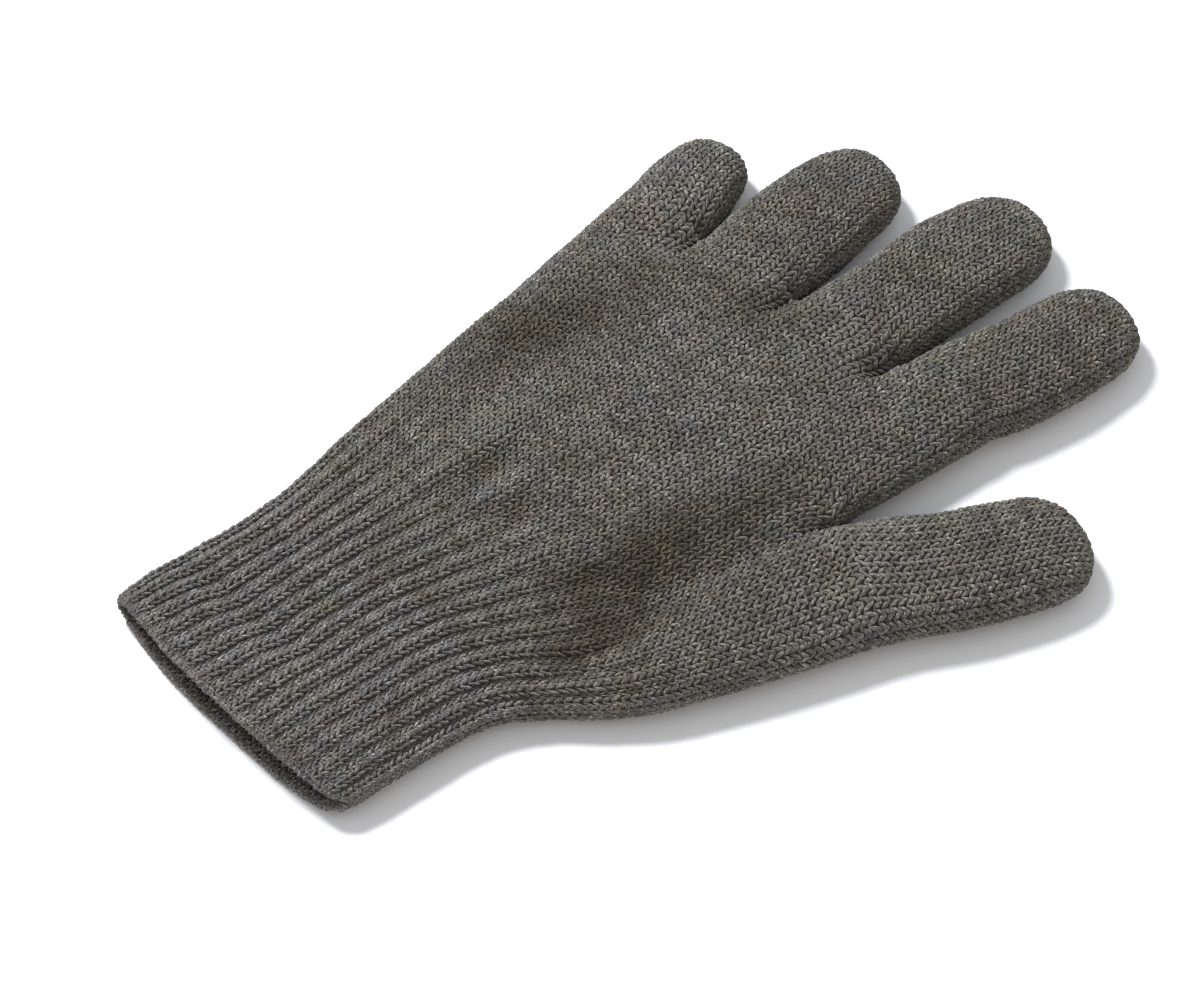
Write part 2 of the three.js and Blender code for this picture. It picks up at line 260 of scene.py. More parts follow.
# Painted shade: in these hollows, creases and shaded slopes the yarn is coloured darker and
# browner.
# Columns as for the dents, with a share for the depth. Less than 0 is paler: painted highlight on
# ridges.
PAINTED_SHADE_AND_HIGHLIGHT_PLACES = [
    (34, 102, 29, 8, 0.1, 0.62),
    (29, 81, 10, 6, 0.5, 0.5),
    (43, 82, 8, 6, 0.2, 0.72),
    (45.6, 66, 7, 4, 0, 0.62),
    (-10.8, 84, 10, 3.2, -0.07, 0.72),
    (3.2, 81, 7, 2.6, 0.1, 0.5),
    (-39, 121, 27, 10, -0.12, 0.62),
    (-31, 140, 26, 9, 0, 0.42),
    (-34, 166, 7, 3, 0.1, 0.3),
    (-11, 165, 10, 9, 0, 0.56),
    (-4, 171, 7, 3, 0, 0.3),
    (23, 175, 7, 3, -0.1, 0.3),
    (42, 76, 14, 8, 0.05, 0.5),
    (35, 98, 12, 9, 0.1, 0.32),
    (37, 134, 20, 7, 0, 0.42),
    (60, 107, 13, 13, 0.3, 0.26),
    (-32, 201, 22, 11, 0, 0.28),
    (3, 205, 26, 11, 0, 0.2),
    (43, 213, 26, 14, 0, 0.3),
    (82, 165, 22, 13, 0.38, 0.16),
    (51, 108, 34, 5, 0.1, 0.24),
    (26, 106, 11, 5, 0.1, 0.2),
    (-46, 111, 11, 6, -0.1, 0.24),
    (10, 166, 13, 15, 0, 0.14),
    (-20, 14.5, 3.5, 15, -0.18, 0.22),
    (-22, 94, 16, 5.5, -0.1, -0.6),
    (4, 16, 4, 14, -0.18, -0.4),
    (-9, 176, 8, 2.6, 0.12, 0.45),
    (20.5, 180, 8, 2.6, 0.08, 0.42),
]

# Rows over which the wales bend softly where the thumb begins, fewer near both ends of the wrist
BEND_ROWS = 4
BEND_LEAST = 0.01
BEND_STARTS = (1, 12)
BEND_ENDS = (1, 14)


# Shape of the fabric: the sections of cuff and palm and the paths of the digits as in the solids
def mix(start, end, share):
    return start + (end - start) * share


def unit(vectors):
    return vectors / np.linalg.norm(vectors, axis=-1, keepdims=True)


def ease(start, end, value):
    """Rises smoothly from 0 at start to 1 at end."""
    share = np.clip((np.asarray(value, float) - start) / (end - start), 0, 1)
    return share * share * (3 - 2 * share)


def column(rows, name, key, at):
    """One column of a table at places between its rows, along a smooth curve through them."""
    places, values = rows[key], rows[name]
    low = np.clip(np.searchsorted(places, at, side="right") - 1, 0, len(places) - 2)
    before, high, after = np.maximum(low - 1, 0), low + 1, np.minimum(low + 2, len(places) - 1)
    span = places[high] - places[low]
    share = (at - places[low]) / span
    start = (values[high] - values[before]) / (places[high] - places[before]) * span
    end = (values[after] - values[low]) / (places[after] - places[low]) * span
    square, cube = share**2, share**3
    return (
        (2 * cube - 3 * square + 1) * values[low]
        + (cube - 2 * square + share) * start
        + (3 * square - 2 * cube) * values[high]
        + (cube - square) * end
    )


def wall_height(height, share, upper):
    """Height of the upper or lower wall where the section has risen to a share of its bulge."""
    middle = height * WIDEST_LEVEL
    if upper:
        return middle + (height - middle) * share
    return np.maximum(middle - (middle + FLOOR_PRESS) * share, 0)


def bulge(across, fullness):
    return np.maximum(0, 1 - np.abs(across) ** fullness) ** (1 / fullness)


def dent_depth(x, y, dents=DENTS):
    """How deep the back of the hand is pressed in."""
    depth = np.zeros_like(x)
    for dent_x, dent_y, length, width, turn, deepest in dents:
        along = (y - dent_y) * math.cos(turn) + (x - dent_x) * math.sin(turn)
        aside = (x - dent_x) * math.cos(turn) - (y - dent_y) * math.sin(turn)
        depth += deepest * np.exp(-((along / length) ** 2) - (aside / width) ** 2)
    return depth


def rim_share(row):
    return 1 - ease(RIM_Y, RIM_FADE_Y, row)


def slope_at(row):
    """How much a row of stitches rises towards the thumb."""
    return RIM_SLOPE * rim_share(row) + KNUCKLE_SLOPE * ease(SLOPE_START, KNUCKLE_Y, row)


ROOT_HALVES = np.array([path["half"][0] for path in FINGERS.values()])
LANE_EDGES = np.concatenate([[-1.0], -1 + 2 * np.cumsum(ROOT_HALVES) / ROOT_HALVES.sum()])
LAST_LANE = len(FINGERS) - 1


def body_at(row, *names):
    """The named columns of the palm and cuff at a row."""
    return (column(BODY, name, "y", row) for name in names)


def body_points(row, across, upper):
    """Points of a row of the palm or cuff, at the given shares across."""
    left, right, height, fullness = body_at(row, "left", "right", "height", "fullness")
    x = (left + right) / 2 + (right - left) / 2 * across
    y = row + slope_at(row) * x - RIM_BOW * rim_share(row) * (1 - across**2)
    oval = bulge(across, fullness)
    lane = np.clip(np.searchsorted(LANE_EDGES, across, side="right") - 1, 0, LAST_LANE)
    local = 2 * (across - LANE_EDGES[lane]) / (LANE_EDGES[lane + 1] - LANE_EDGES[lane]) - 1
    outer = ((lane == 0) & (local < 0)) | ((lane == LAST_LANE) & (local > 0))
    web = np.where(outer, 0, WEB_THICKNESS / height)
    lobes = web + (1 - web) * bulge(np.clip(local, -1, 1), DIGIT_FULLNESS)
    share = mix(oval, lobes, ease(KNUCKLE_Y - VALLEY_LENGTH, KNUCKLE_Y, row))
    z = wall_height(height, share, upper)
    return np.stack([x, y, z - dent_depth(x, y) * oval if upper else z], axis=1)


def digit_points(section, across, upper):
    """Points of one section of a digit, at the given shares across."""
    middle = section["height"] * WIDEST_LEVEL
    wall = wall_height(section["height"], bulge(across, DIGIT_FULLNESS), upper)
    aside = section["half"] * across
    x = section["x"] + aside * math.cos(section["lean"])
    y = section["y"] - aside * math.sin(section["lean"])
    return np.stack([x, y, mix(middle, wall, section.get("opening", 1.0))], axis=1)


ACROSS = -np.cos(np.linspace(0, np.pi, HALF_SAMPLES))


def lengths_of(points):
    """Length from the first point to each point."""
    return np.concatenate([[0.0], np.cumsum(np.linalg.norm(np.diff(points, axis=0), axis=1))])


def at_lengths(points, lengths):
    run = lengths_of(points)
    return np.stack([np.interp(lengths, run, points[:, axis]) for axis in range(3)], axis=1)


class Outline:
    """A closed, softly rounded section: its upper and its lower half, each from left to right.

    Marks are lengths along both halves where one lane ends and the next begins.
    """

    def __init__(self, halves, marks):
        samples, places = [], []
        for half, half_marks in zip(halves, marks):
            total = lengths_of(half)[-1]
            count = max(LEAST_SAMPLES, round(total / SAMPLE))
            samples.append(at_lengths(half, np.linspace(0, total, count + 1)))
            places.append(np.asarray(half_marks, float) / total * count)
        upper, lower = samples
        loop = np.concatenate([upper[:-1], lower[:0:-1]])
        waves = 2 * np.pi * np.fft.rfftfreq(len(loop)) / SAMPLE
        kept = np.fft.rfft(loop, axis=0) * np.exp(-0.5 * (waves * SOFTNESS) ** 2)[:, None]
        loop = np.fft.irfft(kept, len(loop), axis=0)
        last = len(upper) - 1
        self.halves = [loop[: last + 1], np.concatenate([loop[:1], loop[: last - 1 : -1]])]
        self.totals = [lengths_of(half)[-1] for half in self.halves]
        self.marks = [
            np.interp(place, np.arange(len(half)), lengths_of(half))
            for place, half in zip(places, self.halves)
        ]

    def ring(self, lengths):
        """Corners at the given lengths of the upper and of the lower half, once round."""
        upper, lower = (at_lengths(half, places) for half, places in zip(self.halves, lengths))
        return np.concatenate([upper, lower[-2:0:-1]])

    def shared(self, upper, lower):
        """Lengths of the corners where each half is shared by stitches of given weights."""
        sums = (np.concatenate([[0.0], np.cumsum(weights)]) for weights in (upper, lower))
        return [total * runs / runs[-1] for total, runs in zip(self.totals, sums)]

    def in_lanes(self, lanes):
        """Lengths of the corners where each lane is shared by stitches of given weights."""
        halves = []
        for half, total in enumerate(self.totals):
            ends = np.concatenate([[0.0], self.marks[half], [total]])
            parts = [np.zeros(1)]
            for start, end, weights in zip(ends, ends[1:], lanes):
                parts.append(start + (end - start) * np.cumsum(weights) / np.sum(weights))
            halves.append(np.concatenate(parts))
        return halves


def with_lengths(path):
    """A path with one more column: the length along it."""
    return {**path, "along": lengths_of(np.stack([path["x"], path["y"]], axis=1))}


def path_section(path, along):
    return {name: float(column(path, name, "along", along)) for name in path if name != "along"}


THUMB_PATH = with_lengths(THUMB)
THUMB_ROOT = THUMB_PATH["along"][THUMB_ROOT_ROW]


# The crease where the thumb leaves the palm
def row_through(x, y):
    """The row of the palm that passes through a place seen from above."""
    row = np.array(y, float)
    for _ in range(ROW_STEPS):
        left, right = body_at(row, "left", "right")
        across = np.clip((2 * x - left - right) / (right - left), -1, 1)
        row = y - slope_at(row) * x + RIM_BOW * rim_share(row) * (1 - across**2)
    return row


def palm_top(x, y):
    row = row_through(x, y)
    left, right, height, fullness = body_at(row, "left", "right", "height", "fullness")
    across = (2 * x - left - right) / (right - left)
    top = wall_height(height, bulge(np.clip(across, -1, 1), fullness), True)
    return np.where(np.abs(across) < 1, top, -1.0)


def crease_table():
    """Where the crease lies across the thumb and the palm, and in which row, along the thumb."""
    across = np.linspace(-1, 1, CREASE_SAMPLES)
    rows = []
    for along in np.linspace(0, THUMB_ROOT, CREASE_STEPS):
        points = digit_points(path_section(THUMB_PATH, along), across, True)
        first = int(np.argmax(points[:, 2] > palm_top(points[:, 0], points[:, 1])))
        x, y, _ = points[first]
        rows.append((along, across[first], float(row_through(x, y)), x))
    return table(("along", "across", "row", "x"), *rows)


CREASE = crease_table()
THUMB_START_Y = CREASE["row"][0]


def joined_outline(row, joined):
    """The outline of a row of cuff or hand; while it is joined on, the thumb is part of it."""
    halves, marks = [], []
    for upper in (True, False):
        points = body_points(row, ACROSS, upper)
        edges = np.interp(LANE_EDGES[1:-1], ACROSS, lengths_of(points))
        if joined:
            along, across, x = (
                float(np.interp(row, CREASE["row"], CREASE[name]))
                for name in ("along", "across", "x")
            )
            x = min(x, points[-1, 0])
            corner = [x, *(np.interp(x, points[:, 0], points[:, axis]) for axis in (1, 2))]
            palm = np.concatenate([points[points[:, 0] < x], [corner]])
            rest = np.concatenate([[across], ACROSS[ACROSS > across]])
            thumb = digit_points(path_section(THUMB_PATH, along), rest, upper)
            edges = np.append(edges, lengths_of(palm)[-1])
            points = np.concatenate([palm, thumb])
        halves.append(points)
        marks.append(edges)
    return Outline(halves, marks)


def outwards(ring):
    """Directions away from the hollow at each corner of a ring."""
    before, after = np.roll(ring, 1, axis=0), np.roll(ring, -1, axis=0)
    away = (before[:, 2] - after[:, 2], np.zeros(len(ring)), after[:, 0] - before[:, 0])
    return unit(np.stack(away, axis=1))


def bent_softly(rings):
    """Rows of the wrist, with wales that bend softly instead of turning a corner."""
    places = np.arange(len(rings))
    reach = BEND_LEAST + BEND_ROWS * ease(*BEND_STARTS, places) * ease(*BEND_ENDS, places[::-1])
    weights = np.exp(-0.5 * ((places[:, None] - places) / reach[:, None]) ** 2)
    return np.tensordot(weights / weights.sum(axis=1, keepdims=True), rings, axes=1)


def sway(x, y, waves):
    return sum(height * np.sin(x / across + y / along) for height, across, along in waves)


def soften(ring):
    """Folds and small waves that a soft fabric has when it lies down."""
    x, y, z = ring.T
    (across, along), (winding, length) = LIFT_LENGTHS, LIFT_WINDING
    lift = LIFT_HEIGHT * np.sin(x / across + winding * np.sin(y / length))
    lift = lift * np.sin(y / along + LIFT_START) * np.clip(z / LIFT_LEVEL, 0, 1)
    z = z + lift - dent_depth(x, y, FOLDS) * ease(FOLD_LOW, FOLD_HIGH, z)
    moved = (x + sway(x, y, SWAY_ASIDE), y + sway(x, y, SWAY_ALONG), np.maximum(z, 0))
    return np.stack(moved, axis=1)


# Stitches across each lane of the cuff and hand, with the thumb's
JOINED_LANES = [np.ones(count) for count in LANE_WALES.values()]


def palm_lanes(past):
    """Lanes of the palm past the thumb; the stitches at its side start narrow."""
    side = mix(PALM_SIDE_START, 1.0, ease(0, SIDE_SETTLES, past))
    *lanes, last, _ = JOINED_LANES
    return [*lanes, np.concatenate([last, np.full(SIDE_WALES, side)])]


def rib_share(x, row):
    """How strong the ribs are at places along a row."""
    middle_x, middle_row, width, length, calm = CALM_PLACE
    calmer = calm * np.exp(-(((x - middle_x) / width) ** 2) - ((row - middle_row) / length) ** 2)
    rim = mix(RIM_RIBS, 1, ease(RIM_Y, RIM_RIBS_END, row))
    return (1 - ease(RIB_FADE_START, RIB_FADE_END, row)) * rim * (1 - calmer)


def hand_ring(row, lanes=JOINED_LANES, joined=True, inset=0.0):
    """The corners of all stitches of a row, once round."""
    outline = joined_outline(row, joined and row > THUMB_START_Y)
    count = sum(len(lane) for lane in lanes)
    widths = mix(np.resize(RIB_WIDTHS, 2 * count), 1.0, ease(RIB_FADE_START, RIB_FADE_END, row))
    lengths = outline.shared(widths[:count], widths[:count - 1 : -1])
    share = lengths[0] / outline.totals[0]
    before = max(0.0, LEAN_ROW - row)
    lean = RIB_LEAN * before**2 / (before + LEAN_SOFTNESS)
    lengths[0] = lengths[0] - lean * ease(*LEAN_RISE, share) * (1 - ease(*LEAN_FALL, share))
    if row > LANES_START_Y:
        to_lanes = ease(LANES_START_Y, LANES_END_Y, row)
        lengths = [mix(even, own, to_lanes) for even, own in zip(lengths, outline.in_lanes(lanes))]
    ring = outline.ring(lengths)
    ribs = RIB_DEPTH * rib_share(ring[:, 0], row) * np.resize(RIB_WAVE, len(ring))
    moved = ring + outwards(ring) * (ribs - inset)[:, None]
    moved[:, 2] = np.maximum(moved[:, 2], inset)
    corner = np.clip((ring[:, 0] - CORNER_X) / CORNER_RADIUS, 0, 1)
    rounding = 1 - np.sqrt(1 - CORNER_CUT * corner**2)
    moved[:, 1] += CORNER_RADIUS * rounding * (1 - ease(RIM_Y, CORNER_END, row))
    return moved


def grooved(cells, row):
    """Cells of the stitches of a ribbed row, with those in the grooves moved inwards."""
    sink = np.resize(RIB_SINK, len(cells)) * rib_share(cells[:, :, 0].mean(axis=1), row)
    return cells - cell_axes(cells)[2][:, None] * sink[:, None, None]


def part_ring(ring, low, high):
    """The part of a ring between two lane edges, closed with corners down the webs beside it."""
    last = len(ring) // 2
    upper, lower = ring[: last + 1], np.concatenate([ring[:1], ring[: last - 1 : -1]])
    shares = np.linspace(0, 1, 2 * SIDE_WALES + 1)[1:-1, None]
    top, bottom = upper[low : high + 1], lower[low : high + 1]
    if low > 0:
        web = mix(upper[low], lower[low], shares)
        top = np.concatenate([web[SIDE_WALES - 1 :: -1], top])
        bottom = np.concatenate([web[SIDE_WALES - 1 :], bottom])
    if high < last:
        web = mix(upper[high], lower[high], shares)
        top = np.concatenate([top, web[:SIDE_WALES]])
        bottom = np.concatenate([bottom, web[: SIDE_WALES - 2 : -1]])
    return np.concatenate([top, bottom[-2:0:-1]])


def cells_between(low, high):
    """The four corners of each stitch between two rings."""
    return np.stack([low, np.roll(low, -1, axis=0), np.roll(high, -1, axis=0), high], axis=1)


def cell_axes(cells):
    """The way across and up each cell, and its direction outwards."""
    across = (cells[:, 1] - cells[:, 0] + cells[:, 2] - cells[:, 3]) / 2
    up = (cells[:, 3] - cells[:, 0] + cells[:, 2] - cells[:, 1]) / 2
    return across, up, unit(np.cross(across, up))


class Digit:
    """Sections of a finger or the thumb, from its root to its closed tip."""

    def __init__(self, name, path, start, root_lean, sides, main):
        self.path = path
        self.drawn_side = DRAWN_SIDES.get(name, (0.0, 1.0, 0.0))
        self.tip_shape = TIP_SHAPES[name]
        self.start = start
        self.root_lean = root_lean
        self.sides = sides
        self.main = main
        self.total = path["along"][-1]
        self.radius = path["half"][-1]

    def section(self, along):
        before = path_section(self.path, along - LEAN_SETTLES / 2)
        after = path_section(self.path, along)
        lean = math.atan2(after["x"] - before["x"], after["y"] - before["y"])
        plan = TIP_LAST_PLACE * np.clip((along - self.total + self.radius) / self.radius, 0, 1)
        side = np.clip((along - self.total) / (after["height"] / 2) + 1, 0, 1)
        shape_start = mix(self.start, self.total, TIP_SHAPE_START)
        share = ease(shape_start, self.total - TIP_SHAPE_END, along)
        across, further, narrower = (share * change for change in self.tip_shape)
        return {
            **after,
            "x": after["x"] + across,
            "y": after["y"] + further,
            "lean": mix(self.root_lean, lean, ease(self.start, self.start + LEAN_SETTLES, along)),
            "half": (after["half"] - narrower) * (1 - plan**TIP_SQUARENESS) ** (1 / TIP_SQUARENESS),
            "opening": mix(TIP_END_HEIGHT, 1, math.sqrt(1 - side**2)),
        }

    def outline(self, along):
        section = self.section(along)
        return Outline([digit_points(section, ACROSS, upper) for upper in (True, False)], [[], []])

    def ring(self, along):
        """Corners at a place, with narrower stitches at the sides near the root."""
        outline = self.outline(along)
        side = mix(SIDE_START, 1.0, ease(0, SIDE_SETTLES, along - self.start))
        left, right = self.sides
        weights = np.concatenate([np.full(left, side), np.ones(self.main), np.full(right, side)])
        ring = outline.ring(outline.shared(weights, weights))
        drawn_y, length, depth = self.drawn_side
        near = math.exp(-(((along + self.path["y"][0] - drawn_y) / length) ** 2))
        middle = (ring[:, 0].min() + ring[:, 0].max()) / 2
        aside = np.clip((middle - ring[:, 0]) / (middle - ring[:, 0].min()), 0, 1)
        ring[:, 0] += depth * aside**2 * near
        return soften(ring)

    def tip_ring(self, along, count, gauges):
        """Corners near the tip, where the wales run straight and the outermost end at the sides."""
        outline = self.outline(along)
        steps = np.arange(1, count) - count / 2
        lengths = []
        for total, gauge in zip(outline.totals, gauges):
            inner = np.clip(total / 2 + gauge * steps, TIP_EDGE * total, (1 - TIP_EDGE) * total)
            lengths.append(np.concatenate([[0.0], inner, [total]]))
        return soften(outline.ring(lengths))

    def rows(self):
        """Places of the rows, evenly along the middle of the back, down to the closed tip."""
        places = np.linspace(self.start, self.total, DIGIT_SAMPLES)
        middle = [digit_points(self.section(place), np.zeros(1), True)[0] for place in places]
        run = lengths_of(np.array(middle))
        return np.interp(np.linspace(0, run[-1], round(run[-1] / COURSE) + 1), run, places)


class Knit:
    """All cells of the fabric: for the backing by part, for the stitches by part and piece."""

    def __init__(self):
        self.backing = {}
        self.stitches = {}

    def add(self, part, piece, stitches, backing=None):
        self.stitches.setdefault((part, piece), []).append(stitches)
        if backing is not None:
            self.backing.setdefault(part, []).append(backing)

    def add_digit(self, name, digit, root_ring):
        count = len(root_ring) // 2
        places = digit.rows()
        spans = [digit.outline(place).totals[0] for place in places]
        tip = int(np.searchsorted(places, digit.total - digit.radius))
        gauges = [total / count for total in digit.outline(places[tip]).totals]
        low = root_ring
        for row in range(len(places) - 1):
            high = digit.ring(places[row + 1])
            backing = cells_between(low, high)
            cells = backing
            if row >= tip:
                narrower = (count - (spans[row] + spans[row + 1]) / 2 / gauges[0]) / 2
                stitches = max(2, count - 2 * round(narrower))
                ends = (digit.tip_ring(place, stitches, gauges) for place in places[row : row + 2])
                cells = cells_between(*ends)
            self.add(name, name + "_knit", cells, backing)
            low = high
        pole = np.broadcast_to(low.mean(axis=0), low.shape)
        self.backing[name].append(cells_between(low, pole))


def knit_glove():
    knit = Knit()
    start = RIM_Y + HEM_RADIUS
    row_count = round((KNUCKLE_Y - start) / COURSE)
    rows = np.linspace(start, KNUCKLE_Y, row_count + 1)
    thumb_row = int(np.searchsorted(rows, CREASE["row"][-1])) - 1

    # Inside the mouth, round the rim and on to the outside
    inside = [start + COURSE * row for row in range(HEM_INSIDE_ROWS, 0, -1)]
    hem = [hand_ring(row, inset=2 * HEM_RADIUS) for row in inside]
    for turn in np.linspace(np.pi, 0, HEM_TURN_ROWS + 1):
        row = RIM_Y + HEM_RADIUS * (1 - math.sin(turn))
        hem.append(hand_ring(row, inset=HEM_RADIUS * (1 - math.cos(turn))))
    hem = [soften(ring) for ring in hem]
    around = np.roll(hem[-1], -1, axis=0) - hem[-1]
    for low, high in zip(hem, hem[1:]):
        cells = grooved(cells_between(low, high), RIM_Y)
        # In the corners of the mouth there is no room for all stitches of a row
        kept = (cell_axes(cells)[0] * around).sum(axis=1) > HEM_LEAST_ROOM * (around**2).sum(axis=1)
        knit.add("cuff", "cuff_rim_knit", cells[kept])

    joined_rings = bent_softly(np.stack([hand_ring(row) for row in rows[: thumb_row + 1]]))
    low = hem[-1]
    for place in range(row_count):
        part, piece, _ = next(item for item in PIECES if place < item[-1])
        if place == thumb_row:
            thumb_edge = sum(len(lane) for lane in JOINED_LANES[:-1])
            thumb_ring = part_ring(low, thumb_edge, len(low) // 2)
            low = part_ring(low, 0, thumb_edge)
        row = rows[place + 1]
        if place < thumb_row:
            high = soften(joined_rings[place + 1])
        else:
            high = soften(hand_ring(row, palm_lanes(row - rows[thumb_row]), joined=False))
        cells = cells_between(low, high)
        knit.add(part, piece, grooved(cells, row), cells)
        low = high

    along = float(np.interp(rows[thumb_row], CREASE["row"], CREASE["along"]))
    root_lean = float(column(THUMB_PATH, "lean", "along", along))
    thumb = {name: values for name, values in THUMB_PATH.items() if name != "lean"}
    digit = Digit("thumb", thumb, along, root_lean, (SIDE_WALES, 0), LANE_WALES["thumb"])
    knit.add_digit("thumb", digit, thumb_ring)

    edge = 0
    for place, (name, path) in enumerate(FINGERS.items()):
        wales = LANE_WALES[name] + (SIDE_WALES if place == LAST_LANE else 0)
        sides = (SIDE_WALES if place > 0 else 0, SIDE_WALES if place < LAST_LANE else 0)
        digit = Digit(name, with_lengths(path), 0.0, -math.atan(KNUCKLE_SLOPE), sides, wales)
        knit.add_digit(name, digit, part_ring(low, edge, edge + wales))
        edge += wales
    return knit


# Materials
def srgb(red, green, blue):
    """A colour from the usual 0 to 255 scale, as Blender's shaders want it."""
    shares = np.array([red, green, blue]) / 255
    linear = np.where(shares <= 0.04045, shares / 12.92, ((shares + 0.055) / 1.055) ** 2.4)
    return (*linear.tolist(), 1.0)


YARN_COLOURS = {
    "Grey": srgb(104, 102, 96),
    "Olive": srgb(99, 95, 77),
    "Brown": srgb(101, 91, 83),
    "Blue": srgb(94, 97, 102),
    "Dark fibre": srgb(36, 34, 32),
    "Pale fibre": srgb(196, 193, 186),
}
# Brown the yarn is multiplied towards where shade is painted
PAINTED_SHADE_COLOUR = (0.41, 0.35, 0.25, 1.0)
# The backing is the back of the fabric, coloured darker than the yarn: painted shade in the gaps
# between the stitches
BACKING_COLOURS = (srgb(64, 61, 57), srgb(92, 89, 84))

# Scale and offset of the noise of each blotch, and scales of the noises of fibres
BLOTCHES = {"Olive": (95.0, 0.0), "Brown": (120.0, 3.7), "Blue": (105.0, 8.1)}
FIBRE_SCALE = 2.2
RELIEF_SCALE = 14.0
BACKING_SCALE = 900.0
NOISE_DETAIL = 3.0

# Where blotches and fibres begin in their noise, where they are strongest, and how strong
BLOTCH_SHARE = (0.48, 0.7, 0.0, 0.8)
DARK_SHARE = (0.5, 0.72, 0.0, 0.7)
PALE_SHARE = (0.5, 0.3, 0.0, 0.75)
BACKING_SHARE = (0.3, 0.7)

# How the fibres stretch along the yarn, how far apart stitches are in their noise, and how bright
# the darkest and the palest stitch are
FIBRE_STRETCH = (3.0, 2.2, 1.0)
FIBRE_APART = 50.0
SHADES = (0.66, 1.08)

SHEEN_ROUGHNESS = 0.55
RELIEF_DEPTH = 0.3 * MM

# The twist of the yarn: turns from end to end, how many plies, and the heights of plies and fibres
TWIST = {"Turns": 2.5, "Plies": 2.0, "Ply": 0.25, "Fibre": 0.5}


def add_node(tree, kind, settings=None, inputs=None):
    """A new node with its settings, and its inputs set to values or linked to other nodes."""
    made = tree.nodes.new(kind)
    for name, value in (settings or {}).items():
        setattr(made, name, value)
    for name, value in (inputs or {}).items():
        if isinstance(name, str):
            socket = next(item for item in made.inputs if item.name == name and item.enabled)
        else:
            socket = made.inputs[name]
        if isinstance(value, bpy.types.NodeSocket):
            tree.links.new(value, socket)
        else:
            socket.default_value = value
    return made


def output_of(tree, kind, settings=None, inputs=None, output=0):
    """One output of a new node."""
    return add_node(tree, kind, settings, inputs).outputs[output]


def calc(tree, operation, *values, kind="Math"):
    """The result of a sum on numbers, vectors or outputs."""
    return output_of(tree, "ShaderNode" + kind, {"operation": operation}, dict(enumerate(values)))


def times(tree, first, second):
    return calc(tree, "MULTIPLY", first, second)


def vector_of(tree, **axes):
    return output_of(tree, "ShaderNodeCombineXYZ", None, axes)


def new_group(name, kind, inputs, outputs):
    """A node group with named inputs and outputs, and its input and output nodes."""
    tree = bpy.data.node_groups.new(name, kind)
    for label, (socket, value) in inputs.items():
        made = tree.interface.new_socket(label, in_out="INPUT", socket_type=socket)
        if value is not None:
            made.default_value = value
    for label, socket in outputs.items():
        tree.interface.new_socket(label, in_out="OUTPUT", socket_type=socket)
    return tree, tree.nodes.new("NodeGroupInput").outputs, tree.nodes.new("NodeGroupOutput").inputs


def blend(tree, share, first, second, mode="MIX"):
    settings = {"data_type": "RGBA", "blend_type": mode}
    return output_of(tree, "ShaderNodeMix", settings, {0: share, 6: first, 7: second}, 2)


def noise(tree, vector, scale, roughness):
    inputs = {"Vector": vector, "Scale": scale, "Detail": NOISE_DETAIL, "Roughness": roughness}
    return output_of(tree, "ShaderNodeTexNoise", None, inputs, "Fac")


def spread(tree, value, low, high, new_low=0.0, new_high=1.0):
    """A value between two bounds, spread evenly between two others."""
    inputs = {"From Min": low, "From Max": high, "To Min": new_low, "To Max": new_high}
    return output_of(tree, "ShaderNodeMapRange", None, {"Value": value, **inputs})


def mottled_grey_group():
    """Colour of the mottled yarn: soft blotches, pale and dark fibres."""
    inputs = {"Place": ("NodeSocketVector", None), "Along yarn": ("NodeSocketVector", None)}
    inputs.update({name: ("NodeSocketColor", value) for name, value in YARN_COLOURS.items()})
    outputs = {"Colour": "NodeSocketColor"}
    tree, given, result = new_group("mottled_grey", "ShaderNodeTree", inputs, outputs)
    colour = given["Grey"]
    for name, (scale, offset) in BLOTCHES.items():
        moved = calc(tree, "ADD", given["Place"], (offset,) * 3, kind="VectorMath")
        blotches = noise(tree, moved, scale, roughness=0.6)
        colour = blend(tree, spread(tree, blotches, *BLOTCH_SHARE), colour, given[name])
    fibres = noise(tree, given["Along yarn"], FIBRE_SCALE, roughness=0.7)
    for name, share in (("Dark fibre", DARK_SHARE), ("Pale fibre", PALE_SHARE)):
        colour = blend(tree, spread(tree, fibres, *share), colour, given[name])
    tree.links.new(colour, result["Colour"])
    return tree


def twisted_yarn_group():
    """Height of the twisted plies and loose fibres of a yarn, from its unwrapped surface."""
    inputs = {"Unwrapped": ("NodeSocketVector", None)}
    inputs.update({name: ("NodeSocketFloat", value) for name, value in TWIST.items()})
    outputs = {"Height": "NodeSocketFloat"}
    tree, given, result = new_group("twisted_yarn", "ShaderNodeTree", inputs, outputs)
    split = add_node(tree, "ShaderNodeSeparateXYZ", None, {0: given["Unwrapped"]}).outputs
    turn = calc(tree, "MULTIPLY_ADD", split["Y"], given["Turns"], split["X"])
    angle = times(tree, turn, times(tree, given["Plies"], 2 * math.pi))
    plies = times(tree, calc(tree, "SINE", angle), given["Ply"])
    fibres = noise(tree, given["Unwrapped"], RELIEF_SCALE, roughness=0.7)
    height = calc(tree, "MULTIPLY_ADD", fibres, given["Fibre"], plies)
    # The relief fades at both ends, where the unwrapped surface runs together
    ends = calc(tree, "SINE", times(tree, split["Y"], math.pi))
    tree.links.new(times(tree, height, ends), result["Height"])
    return tree


def new_material(name, roughness, sheen):
    material = bpy.data.materials.new(name)
    material.use_nodes = True
    tree = material.node_tree
    surface = tree.nodes["Principled BSDF"]
    surface.inputs["Roughness"].default_value = roughness
    surface.inputs["Specular IOR Level"].default_value = 0.0
    surface.inputs["Sheen Weight"].default_value = sheen
    surface.inputs["Sheen Roughness"].default_value = SHEEN_ROUGHNESS
    return material, tree, surface


